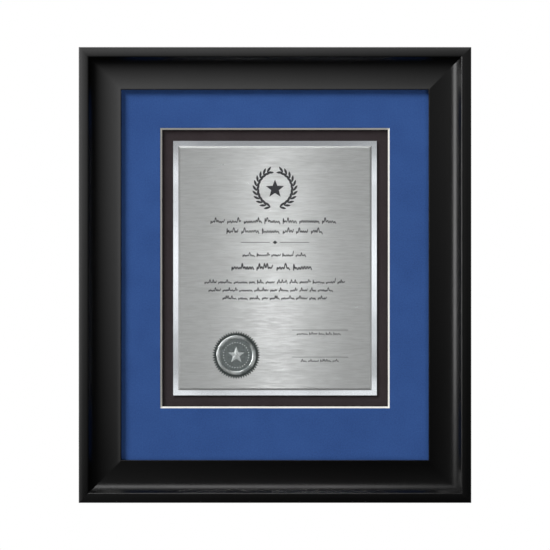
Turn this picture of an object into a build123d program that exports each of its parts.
from build123d import *

import math
import os

# A wall-hung certificate frame. A black scoop moulding is mitred round glazing, a window mat,
# a mount board and a backing board, and a metal plaque of two layers lies in the mat's window.
# Lengths are in millimetres and angles in degrees. Seen from the front, X runs right and Z up,
# and the front faces -Y. The wall is the plane y = 0, with the origin behind the frame's centre.

# Plaque
PLAQUE_WIDTH = 203.2
PLAQUE_HEIGHT = 254.0
BASE_PLATE_THICKNESS = 1.6
POLISHED_BORDER = 5.1
BRUSHED_PLATE_THICKNESS = 1.2
BRUSHED_PLATE_EDGE = 0.3
BRUSHED_PLATE_BEVEL = 2.0
TAPE_THICKNESS = 0.5
TAPE_WIDTH = 25.0
TAPE_INSET = 15.0
TAPE_STRIPS = 4

# Seal, placed from the plaque's left and bottom edges
SEAL_FROM_LEFT = 62.9
SEAL_FROM_BOTTOM = 40.1
SEAL_RADIUS = 24.0
SEAL_TEETH = 56
SEAL_TOOTH_DEPTH = 2.5
SEAL_THICKNESS = 0.35
SEAL_RING_OUTER_RADIUS = 19.7
SEAL_RING_INNER_RADIUS = 16.1
SEAL_RING_RISE = 0.8

# Window mat, with a black band of board showing between its window and the plaque
BAND_WIDTH = 11.1
MAT_CORE_THICKNESS = 1.7
MAT_PAPER_THICKNESS = 0.3
MAT_SIDE_BORDER = 38.4
MAT_TOP_BORDER = 37.6
MAT_BOTTOM_BORDER = 51.3

# Other layers in the rabbet
GLAZING_THICKNESS = 2.0
SPACER_THICKNESS = 3.0
SPACER_WIDTH = 22.0
SPACER_END_GAP = 1.0
MOUNT_BOARD_THICKNESS = 1.5
BACKING_THICKNESS = 3.0
RABBET_CLEARANCE = 0.8

# Moulding section, from its outer edge inwards
RAIL_FACE = 42.2
RABBET_WIDTH = 6.4
RIM_WIDTH = 9.6
RIM_CREST_INSET = 4.2
RIM_RADIUS = 11.0
RIM_EDGE_ROUND = 1.2
RIDGE_ROUND = 4.0
SCOOP_DEPTH = 12.5
SCOOP_LOW_INSET = 8.8
SIGHT_LIP = 3.0
SIGHT_ROUND = 1.0
BACK_EDGE_ROUND = 1.0

# V-nails across the mitres, placed from both outer edges
NAIL_PLACES = (12.0, 26.0)
NAIL_ARM = 7.0
NAIL_SHEET = 0.6
NAIL_LENGTH = 7.0
NAIL_RECESS = 0.5

# Turn buttons on the rails' backs
BUTTON_WIDTH = 12.0
BUTTON_TIP_RADIUS = 4.5
BUTTON_REACH = 22.0
BUTTON_THICKNESS = 1.4
BUTTON_BEND_RADIUS = 6.0
BUTTON_BEND_ANGLE = 28.0
BUTTON_BEND_LENGTH = 3.2
BUTTON_GAP = 0.15
BUTTON_PIVOT_INSET = 24.0
BUTTON_SPREAD_X = 90.0
BUTTON_SPREAD_Z = 120.0

# Hangers: a folded strap with a D-ring in its eye
RING_WIRE = 2.6
RING_HALF_WIDTH = 9.0
RING_CORNER_RADIUS = 3.0
EYE_CLEARANCE = 0.08
STRAP_SHEET = 0.9
STRAP_WIDTH = 11.0
STRAP_LENGTH = 26.0
STRAP_FOLD_GAP = 0.1
STRAP_NECK_RADIUS = 1.6
STRAP_END_ROUND = 4.0
EYE_INSET = 31.0
HANGER_FROM_TOP = 151.75
STRAP_HEAD_CLEARANCE = 0.6
STRAP_SCREW_FROM_END = 5.5

# Pan-head screws for buttons and straps
SCREW_RADIUS = 1.6
SCREW_BITE = 9.0
SCREW_POINT = 1.2
SCREW_HEAD_RADIUS = 2.9
SCREW_HEAD_HEIGHT = 1.6
SCREW_HEAD_ROUND = 0.8
SCREW_SLOT_WIDTH = 0.9
SCREW_SLOT_LENGTH = 3.2
SCREW_SLOT_DEPTH = 0.8
PIVOT_CLEARANCE = 0.08

# Wall bumpers
BUMPER_HEIGHT = 6.0
BUMPER_RADIUS = 6.0
BUMPER_ROUND = 1.5
BUMPER_FROM_CORNER = 50.0
BUMPER_FROM_EDGE = 17.0

# Depths of the layers, forward of the rails' backs
BOARD_BACK = BACKING_THICKNESS
BOARD_FRONT = BOARD_BACK + MOUNT_BOARD_THICKNESS
MAT_BACK = BOARD_FRONT + SPACER_THICKNESS
PAPER_BACK = MAT_BACK + MAT_CORE_THICKNESS
GLAZING_BACK = PAPER_BACK + MAT_PAPER_THICKNESS
RABBET_DEPTH = GLAZING_BACK + GLAZING_THICKNESS
BASE_PLATE_BACK = BOARD_FRONT + TAPE_THICKNESS
BRUSHED_BACK = BASE_PLATE_BACK + BASE_PLATE_THICKNESS
SEAL_BACK = BRUSHED_BACK + BRUSHED_PLATE_THICKNESS

# Sizes across the front
WINDOW_WIDTH = PLAQUE_WIDTH + 2 * BAND_WIDTH
WINDOW_HEIGHT = PLAQUE_HEIGHT + 2 * BAND_WIDTH
MAT_BEVEL = MAT_CORE_THICKNESS + MAT_PAPER_THICKNESS
SIGHT_WIDTH = WINDOW_WIDTH + 2 * MAT_BEVEL + 2 * MAT_SIDE_BORDER
SIGHT_HEIGHT = WINDOW_HEIGHT + 2 * MAT_BEVEL + MAT_TOP_BORDER + MAT_BOTTOM_BORDER
PLAQUE_RISE = (MAT_BOTTOM_BORDER - MAT_TOP_BORDER) / 2
SHEET_WIDTH = SIGHT_WIDTH + 2 * (RABBET_WIDTH - RABBET_CLEARANCE)
SHEET_HEIGHT = SIGHT_HEIGHT + 2 * (RABBET_WIDTH - RABBET_CLEARANCE)
OUTER_WIDTH = SIGHT_WIDTH + 2 * RAIL_FACE
OUTER_HEIGHT = SIGHT_HEIGHT + 2 * RAIL_FACE
HANGER_Z = OUTER_HEIGHT / 2 - HANGER_FROM_TOP
BRUSHED_WIDTH = PLAQUE_WIDTH - 2 * POLISHED_BORDER
BRUSHED_HEIGHT = PLAQUE_HEIGHT - 2 * POLISHED_BORDER
SEAL_X = SEAL_FROM_LEFT - PLAQUE_WIDTH / 2
SEAL_Z = PLAQUE_RISE + SEAL_FROM_BOTTOM - PLAQUE_HEIGHT / 2

# Heights in the moulding section
SCOOP_LOW = RABBET_DEPTH + SIGHT_LIP
RIDGE = SCOOP_LOW + SCOOP_DEPTH
RIM_CENTRE = RIDGE - math.sqrt(RIM_RADIUS**2 - (RIM_WIDTH - RIM_CREST_INSET) ** 2)
RIM_START = RIM_CENTRE + math.sqrt(RIM_RADIUS**2 - RIM_CREST_INSET**2)

# The hanger strap's fold, along the middle of its sheet, from the foot of the eye's centre
EYE_RADIUS = RING_WIRE / 2 + EYE_CLEARANCE
EYE_HEIGHT = STRAP_SHEET + EYE_RADIUS
EYE_LINE_RADIUS = EYE_RADIUS + STRAP_SHEET / 2
TOP_LAYER = STRAP_SHEET * 1.5 + STRAP_FOLD_GAP
NECK_RISE = TOP_LAYER + STRAP_NECK_RADIUS - EYE_HEIGHT
NECK_ALONG = math.sqrt((EYE_LINE_RADIUS + STRAP_NECK_RADIUS) ** 2 - NECK_RISE**2)
NECK_ANGLE = math.degrees(math.atan2(NECK_RISE, NECK_ALONG))
NEAR_SCREW = NECK_ALONG + SCREW_HEAD_RADIUS + STRAP_HEAD_CLEARANCE
FAR_SCREW = STRAP_LENGTH - STRAP_SCREW_FROM_END

FORWARD = Vector(0, -1, 0)
BACKWARD = Vector(0, 1, 0)
INWARD = {
    "top": Vector(0, 0, -1),
    "bottom": Vector(0, 0, 1),
    "left": Vector(1, 0, 0),
    "right": Vector(-1, 0, 0),
}
HALF_ACROSS = {
    "top": OUTER_HEIGHT / 2,
    "bottom": OUTER_HEIGHT / 2,
    "left": OUTER_WIDTH / 2,
    "right": OUTER_WIDTH / 2,
}


def front_plane(depth):
    """The plane that faces the front, a depth forward of the rails' backs, with X and Z as its axes."""
    return Plane.XZ.offset(BUMPER_HEIGHT + depth)


def back_point(side, inset, along):
    """X and Z of a point on a rail's back, by its inset from the outer edge and its place along the rail."""
    across = -INWARD[side] * (HALF_ACROSS[side] - inset)
    if side in ("top", "bottom"):
        return (along, across.Z)
    return (across.X, along)


# Where each turn button turns, and where each screw goes
button_pivots = {}
for side in ("top", "bottom"):
    for end, along in (("left", -BUTTON_SPREAD_X), ("right", BUTTON_SPREAD_X)):
        button_pivots[(side, end)] = back_point(side, BUTTON_PIVOT_INSET, along)
for side in ("left", "right"):
    for end, along in (("upper", BUTTON_SPREAD_Z), ("lower", -BUTTON_SPREAD_Z)):
        button_pivots[(side, end)] = back_point(side, BUTTON_PIVOT_INSET, along)
hanger_screw_spots = []
for side in ("left", "right"):
    for place in (NEAR_SCREW, FAR_SCREW):
        hanger_screw_spots.append(back_point(side, EYE_INSET - place, HANGER_Z))

os.makedirs("parts", exist_ok=True)

# V-nails: bent strips that cross each mitre, with one arm along each rail, sunk in slots
with BuildSketch(front_plane(0)) as nail_outlines:
    for across in (-1, 1):
        for up in (-1, 1):
            for place in NAIL_PLACES:
                apex_x = across * (OUTER_WIDTH / 2 - place)
                apex_z = up * (OUTER_HEIGHT / 2 - place)
                with BuildLine() as nail_line:
                    Polyline(
                        (apex_x - across * NAIL_ARM, apex_z),
                        (apex_x, apex_z),
                        (apex_x, apex_z - up * NAIL_ARM),
                    )
                trace(nail_line.line, line_width=NAIL_SHEET)
with BuildPart() as nail_slots:
    extrude(nail_outlines.sketch, amount=NAIL_RECESS + NAIL_LENGTH)
with BuildPart() as corner_v_nails:
    extrude(nail_outlines.sketch.moved(Location(FORWARD * NAIL_RECESS)), amount=NAIL_LENGTH)
corner_v_nails.part.label = "corner_v_nails"
export_step(corner_v_nails.part, "parts/corner_v_nails.step")

# Rails: one section for all four, run along each side and cut at the mitres
SCOOP_SPAN = RAIL_FACE - SCOOP_LOW_INSET - RIM_WIDTH
SCOOP_RADIUS = (SCOOP_SPAN**2 + SCOOP_DEPTH**2) / (2 * SCOOP_DEPTH)
SIGHT_EDGE = SCOOP_LOW + SCOOP_RADIUS - math.sqrt(SCOOP_RADIUS**2 - SCOOP_LOW_INSET**2)
RAIL_LENGTH = {
    "top": OUTER_WIDTH,
    "bottom": OUTER_WIDTH,
    "left": OUTER_HEIGHT,
    "right": OUTER_HEIGHT,
}
for side, inward in INWARD.items():
    outer_edge = BACKWARD * -BUMPER_HEIGHT - inward * HALF_ACROSS[side]
    along = inward.cross(FORWARD)
    with BuildPart() as rail:
        with BuildSketch(Plane(origin=outer_edge, x_dir=inward, z_dir=along)) as section:
            with BuildLine():
                Polyline(
                    (RAIL_FACE, SIGHT_EDGE),
                    (RAIL_FACE, RABBET_DEPTH),
                    (RAIL_FACE - RABBET_WIDTH, RABBET_DEPTH),
                    (RAIL_FACE - RABBET_WIDTH, 0),
                    (0, 0),
                    (0, RIM_START),
                )
                ThreePointArc(
                    (0, RIM_START),
                    (RIM_CREST_INSET, RIM_CENTRE + RIM_RADIUS),
                    (RIM_WIDTH, RIDGE),
                )
                ThreePointArc(
                    (RIM_WIDTH, RIDGE),
                    (RAIL_FACE - SCOOP_LOW_INSET, SCOOP_LOW),
                    (RAIL_FACE, SIGHT_EDGE),
                )
            make_face()
            fillet(section.vertices().sort_by_distance((RIM_WIDTH, RIDGE))[0], RIDGE_ROUND)
            fillet(section.vertices().group_by(Axis.X)[0].sort_by(Axis.Y)[-1], RIM_EDGE_ROUND)
            fillet(section.vertices().group_by(Axis.X)[0].sort_by(Axis.Y)[0], BACK_EDGE_ROUND)
            fillet(section.vertices().group_by(Axis.X)[-1].sort_by(Axis.Y)[-1], SIGHT_ROUND)
        extrude(amount=RAIL_LENGTH[side] / 2, both=True)
        for end in (-along, along):
            corner = outer_edge + end * (RAIL_LENGTH[side] / 2)
            split(bisect_by=Plane(origin=corner, z_dir=inward + end), keep=Keep.BOTTOM)
        add(nail_slots.part, mode=Mode.SUBTRACT)
        with BuildSketch(front_plane(0)):
            with Locations(*button_pivots.values(), *hanger_screw_spots):
                Circle(SCREW_RADIUS)
        extrude(amount=SCREW_BITE, mode=Mode.SUBTRACT)
    rail.part.label = f"frame_rail_{side}"
    export_step(rail.part, f"parts/frame_rail_{side}.step")

# Glazing, mount board and backing board: plain sheets that fill the rabbet
with BuildPart() as glazing_sheet:
    with BuildSketch(front_plane(GLAZING_BACK)):
        Rectangle(SHEET_WIDTH, SHEET_HEIGHT)
    extrude(amount=GLAZING_THICKNESS)
glazing_sheet.part.label = "glazing_sheet"
export_step(glazing_sheet.part, "parts/glazing_sheet.step")

with BuildPart() as black_mount_board:
    with BuildSketch(front_plane(BOARD_BACK)):
        Rectangle(SHEET_WIDTH, SHEET_HEIGHT)
    extrude(amount=MOUNT_BOARD_THICKNESS)
black_mount_board.part.label = "black_mount_board"
export_step(black_mount_board.part, "parts/black_mount_board.step")

with BuildPart() as backing_board:
    with BuildSketch(front_plane(0)):
        Rectangle(SHEET_WIDTH, SHEET_HEIGHT)
    extrude(amount=BACKING_THICKNESS)
backing_board.part.label = "backing_board"
export_step(backing_board.part, "parts/backing_board.step")

# Window mat: a face paper on a core, both cut through at 45 degrees round the window
MAT_LAYERS = {
    "mat_core": (MAT_BACK, MAT_CORE_THICKNESS),
    "mat_face_paper": (PAPER_BACK, MAT_PAPER_THICKNESS),
}
for layer, (depth, thickness) in MAT_LAYERS.items():
    with BuildPart() as mat:
        with BuildSketch(front_plane(depth)):
            Rectangle(SHEET_WIDTH, SHEET_HEIGHT)
        extrude(amount=thickness)
        for widening in (0, MAT_BEVEL):
            with BuildSketch(front_plane(MAT_BACK + widening)):
                with Locations((0, PLAQUE_RISE)):
                    Rectangle(WINDOW_WIDTH + 2 * widening, WINDOW_HEIGHT + 2 * widening)
        loft(ruled=True, mode=Mode.SUBTRACT)
    mat.part.label = layer
    export_step(mat.part, f"parts/{layer}.step")

# Spacer strips behind the mat, out of sight round its edges
with BuildPart() as mat_spacer_strips:
    with BuildSketch(front_plane(BOARD_FRONT)):
        with GridLocations(0, SHEET_HEIGHT - SPACER_WIDTH, 1, 2):
            Rectangle(SHEET_WIDTH, SPACER_WIDTH)
        with GridLocations(SHEET_WIDTH - SPACER_WIDTH, 0, 2, 1):
            Rectangle(SPACER_WIDTH, SHEET_HEIGHT - 2 * (SPACER_WIDTH + SPACER_END_GAP))
    extrude(amount=SPACER_THICKNESS)
mat_spacer_strips.part.label = "mat_spacer_strips"
export_step(mat_spacer_strips.part, "parts/mat_spacer_strips.step")

# Plaque: tape strips on the mount board, a polished base plate and a brushed plate with bevelled edges
TAPE_SPACING = (PLAQUE_WIDTH - 2 * TAPE_INSET - TAPE_WIDTH) / (TAPE_STRIPS - 1)
with BuildPart() as plaque_mounting_tape:
    with BuildSketch(front_plane(BOARD_FRONT)):
        with Locations((0, PLAQUE_RISE)):
            with GridLocations(TAPE_SPACING, 0, TAPE_STRIPS, 1):
                Rectangle(TAPE_WIDTH, PLAQUE_HEIGHT - 2 * TAPE_INSET)
    extrude(amount=TAPE_THICKNESS)
plaque_mounting_tape.part.label = "plaque_mounting_tape"
export_step(plaque_mounting_tape.part, "parts/plaque_mounting_tape.step")

with BuildPart() as plaque_base_plate:
    with BuildSketch(front_plane(BASE_PLATE_BACK)):
        with Locations((0, PLAQUE_RISE)):
            Rectangle(PLAQUE_WIDTH, PLAQUE_HEIGHT)
    extrude(amount=BASE_PLATE_THICKNESS)
plaque_base_plate.part.label = "plaque_base_plate"
export_step(plaque_base_plate.part, "parts/plaque_base_plate.step")

with BuildPart() as brushed_plate:
    with BuildSketch(front_plane(BRUSHED_BACK)):
        with Locations((0, PLAQUE_RISE)):
            Rectangle(BRUSHED_WIDTH, BRUSHED_HEIGHT)
    extrude(amount=BRUSHED_PLATE_EDGE)
    for depth, bevel in ((BRUSHED_BACK + BRUSHED_PLATE_EDGE, 0), (SEAL_BACK, BRUSHED_PLATE_BEVEL)):
        with BuildSketch(front_plane(depth)):
            with Locations((0, PLAQUE_RISE)):
                Rectangle(BRUSHED_WIDTH - 2 * bevel, BRUSHED_HEIGHT - 2 * bevel)
    loft(ruled=True)
brushed_plate.part.label = "brushed_plate"
export_step(brushed_plate.part, "parts/brushed_plate.step")

# Seal: a thin disc with a serrated edge and a domed ring
seal_outline = []
for step in range(2 * SEAL_TEETH):
    radius = SEAL_RADIUS - SEAL_TOOTH_DEPTH * (step % 2)
    angle = math.pi * step / SEAL_TEETH
    seal_outline.append((radius * math.cos(angle), radius * math.sin(angle)))
seal_face = front_plane(SEAL_BACK + SEAL_THICKNESS).from_local_coords(Vector(SEAL_X, SEAL_Z, 0))
with BuildPart() as embossed_seal:
    with BuildSketch(front_plane(SEAL_BACK)):
        with Locations((SEAL_X, SEAL_Z)):
            Polygon(*seal_outline, align=None)
    extrude(amount=SEAL_THICKNESS)
    with BuildSketch(Plane(origin=seal_face, x_dir=(1, 0, 0), z_dir=(0, 0, -1))):
        with BuildLine():
            ring_foot = Line((SEAL_RING_INNER_RADIUS, 0), (SEAL_RING_OUTER_RADIUS, 0))
            ring_top = ring_foot @ 0.5 + Vector(0, SEAL_RING_RISE)
            ThreePointArc(ring_foot @ 0, ring_top, ring_foot @ 1)
        make_face()
    revolve(axis=Axis(seal_face, FORWARD))
embossed_seal.part.label = "embossed_seal"
export_step(embossed_seal.part, "parts/embossed_seal.step")

# Turn buttons: a plate with a round pivot end and a tip bent back for the finger
for (side, end), (pivot_x, pivot_z) in button_pivots.items():
    inward = INWARD[side]
    pivot = Vector(pivot_x, BUTTON_GAP - BUMPER_HEIGHT, pivot_z)
    with BuildPart() as turn_button:
        with BuildSketch(Plane(origin=pivot, x_dir=inward, z_dir=BACKWARD)):
            Circle(BUTTON_WIDTH / 2)
            with Locations((BUTTON_REACH - BUTTON_TIP_RADIUS, 0)):
                Circle(BUTTON_TIP_RADIUS)
            make_hull()
            Circle(SCREW_RADIUS + PIVOT_CLEARANCE, mode=Mode.SUBTRACT)
        extrude(amount=BUTTON_WIDTH)
        with BuildSketch(Plane(origin=pivot, x_dir=inward, z_dir=inward.cross(BACKWARD))):
            with BuildLine() as bent_strip:
                flat = Line(
                    (-BUTTON_WIDTH / 2, BUTTON_THICKNESS / 2),
                    (BUTTON_REACH - BUTTON_BEND_LENGTH, BUTTON_THICKNESS / 2),
                )
                bend = JernArc(flat @ 1, flat % 1, BUTTON_BEND_RADIUS, BUTTON_BEND_ANGLE)
                Line(bend @ 1, bend @ 1 + (bend % 1) * BUTTON_BEND_LENGTH)
            trace(bent_strip.line, line_width=BUTTON_THICKNESS)
        extrude(amount=BUTTON_WIDTH, both=True, mode=Mode.INTERSECT)
    turn_button.part.label = f"turn_button_{side}_{end}"
    export_step(turn_button.part, f"parts/turn_button_{side}_{end}.step")

# Hangers: on each side rail a folded strap, its eye towards the middle, and a D-ring through the eye
for side in ("left", "right"):
    inward = INWARD[side]
    outward = -inward
    eye_x, eye_z = back_point(side, EYE_INSET, HANGER_Z)
    eye_foot = Vector(eye_x, -BUMPER_HEIGHT, eye_z)
    with BuildPart() as hanger_strap:
        with BuildSketch(Plane(origin=eye_foot, x_dir=outward, z_dir=outward.cross(BACKWARD))):
            with BuildLine() as fold:
                Line((STRAP_LENGTH, STRAP_SHEET / 2), (0, STRAP_SHEET / 2))
                CenterArc((0, EYE_HEIGHT), EYE_LINE_RADIUS, -90, NECK_ANGLE - 270)
                CenterArc(
                    (NECK_ALONG, TOP_LAYER + STRAP_NECK_RADIUS),
                    STRAP_NECK_RADIUS,
                    NECK_ANGLE + 180,
                    90 - NECK_ANGLE,
                )
                Line((NECK_ALONG, TOP_LAYER), (STRAP_LENGTH, TOP_LAYER))
            trace(fold.line, line_width=STRAP_SHEET)
        extrude(amount=STRAP_WIDTH / 2, both=True)
        end_edges = hanger_strap.edges().filter_by(Axis.Y).group_by(Axis((0, 0, 0), outward))[-1]
        fillet(end_edges, STRAP_END_ROUND)
        with BuildSketch(front_plane(0)):
            with Locations(*hanger_screw_spots):
                Circle(SCREW_RADIUS)
        extrude(amount=-2 * EYE_HEIGHT, mode=Mode.SUBTRACT)
    hanger_strap.part.label = f"hanger_strap_{side}"
    export_step(hanger_strap.part, f"parts/hanger_strap_{side}.step")

    bar_centre = eye_foot + BACKWARD * EYE_HEIGHT
    bar_half = RING_HALF_WIDTH - RING_CORNER_RADIUS
    with BuildPart() as hanger_ring:
        with BuildLine(Plane(origin=bar_centre, x_dir=inward, z_dir=BACKWARD)) as ring_line:
            Line((0, -bar_half), (0, bar_half))
            CenterArc((RING_CORNER_RADIUS, bar_half), RING_CORNER_RADIUS, 180, -90)
            CenterArc((RING_CORNER_RADIUS, 0), RING_HALF_WIDTH, 90, -180)
            CenterArc((RING_CORNER_RADIUS, -bar_half), RING_CORNER_RADIUS, -90, -90)
        with BuildSketch(Plane(origin=ring_line.line @ 0, z_dir=ring_line.line % 0)):
            Circle(RING_WIRE / 2)
        sweep()
    hanger_ring.part.label = f"hanger_ring_{side}"
    export_step(hanger_ring.part, f"parts/hanger_ring_{side}.step")

# Screws: pan heads with a cross slot, over the buttons and over the straps
SCREW_SETS = {
    "turn_button_screws": (list(button_pivots.values()), 2 * BUTTON_GAP + BUTTON_THICKNESS),
    "hanger_screws": (hanger_screw_spots, 2 * STRAP_SHEET + STRAP_FOLD_GAP),
}
for group, (spots, seat) in SCREW_SETS.items():
    with BuildPart() as screws:
        with BuildSketch(front_plane(-seat)):
            with Locations(*spots):
                Circle(SCREW_HEAD_RADIUS)
        extrude(amount=-SCREW_HEAD_HEIGHT)
        fillet(screws.edges().group_by(Axis.Y)[-1], SCREW_HEAD_ROUND)
        with BuildSketch(front_plane(-seat)):
            with Locations(*spots):
                Circle(SCREW_RADIUS)
        extrude(amount=seat + SCREW_BITE)
        chamfer(screws.edges().group_by(Axis.Y)[0], SCREW_POINT)
        with BuildSketch(front_plane(-seat - SCREW_HEAD_HEIGHT)):
            with Locations(*spots):
                Rectangle(SCREW_SLOT_LENGTH, SCREW_SLOT_WIDTH)
                Rectangle(SCREW_SLOT_WIDTH, SCREW_SLOT_LENGTH)
        extrude(amount=SCREW_SLOT_DEPTH, mode=Mode.SUBTRACT)
    screws.part.label = group
    export_step(screws.part, f"parts/{group}.step")

# Wall bumpers low on the bottom rail
for side, across in (("left", -1), ("right", 1)):
    bumper_x = across * (OUTER_WIDTH / 2 - BUMPER_FROM_CORNER)
    with BuildPart() as wall_bumper:
        with BuildSketch(front_plane(0)):
            with Locations((bumper_x, BUMPER_FROM_EDGE - OUTER_HEIGHT / 2)):
                Circle(BUMPER_RADIUS)
        extrude(amount=-BUMPER_HEIGHT)
        fillet(wall_bumper.edges().group_by(Axis.Y)[-1], BUMPER_ROUND)
    wall_bumper.part.label = f"wall_bumper_{side}"
    export_step(wall_bumper.part, f"parts/wall_bumper_{side}.step")
